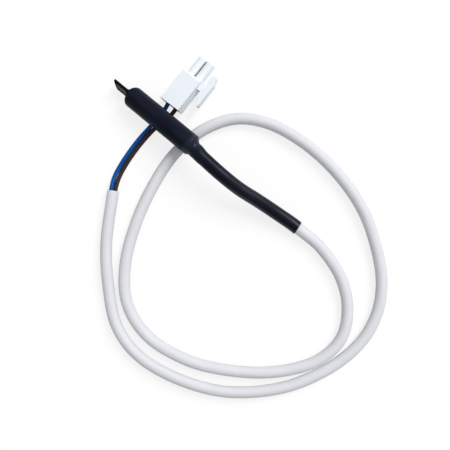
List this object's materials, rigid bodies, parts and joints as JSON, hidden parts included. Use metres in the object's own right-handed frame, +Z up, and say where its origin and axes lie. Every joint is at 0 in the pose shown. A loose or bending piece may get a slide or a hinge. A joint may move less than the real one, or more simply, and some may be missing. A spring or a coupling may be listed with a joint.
{
  "type": "temperature sensor probe",
  "caption": "Temperature sensor probe in black heat shrink with a pinched tip, on a white two-core cable laid in open turns that ends in a white in-line plug with a latch.",
  "frame": {"origin": "on the surface that the probe lies on, under the middle of the heat-shrink sleeve's box", "axes": "+X along the sleeve towards its pinched tip, +Y towards the inside of the cable's turns, +Z up"},
  "size_m": [0.148, 0.115, 0.0149],
  "materials": {
    "sleeve_black": "satin",
    "adhesive": "satin",
    "capsule": "matte",
    "potting": "satin",
    "bead_coat": "gloss",
    "tinned_wire": "satin",
    "amber_tube": "satin",
    "core_blue": "satin",
    "core_brown": "satin",
    "jacket_white": "matte",
    "housing_white": "satin",
    "contact_metal": "satin"
  },
  "bodies": {
    "root": {"heat_shrink": "sleeve_black", "tip_adhesive": "adhesive", "neck_adhesive": "adhesive", "sensor_capsule": "capsule", "potting": "potting", "thermistor_bead": "bead_coat", "thermistor_lead_1": "tinned_wire", "thermistor_lead_2": "tinned_wire", "lead_sleeve_1": "amber_tube", "lead_sleeve_2": "amber_tube", "splice_blue": "tinned_wire", "splice_brown": "tinned_wire", "core_end_blue": "core_blue", "core_end_brown": "core_brown", "cable_held": "jacket_white", "cable": "jacket_white", "wire_blue": "core_blue", "wire_brown": "core_brown", "connector_housing": "housing_white", "contact_blue": "contact_metal", "contact_brown": "contact_metal"}
  },
  "joints": []
}
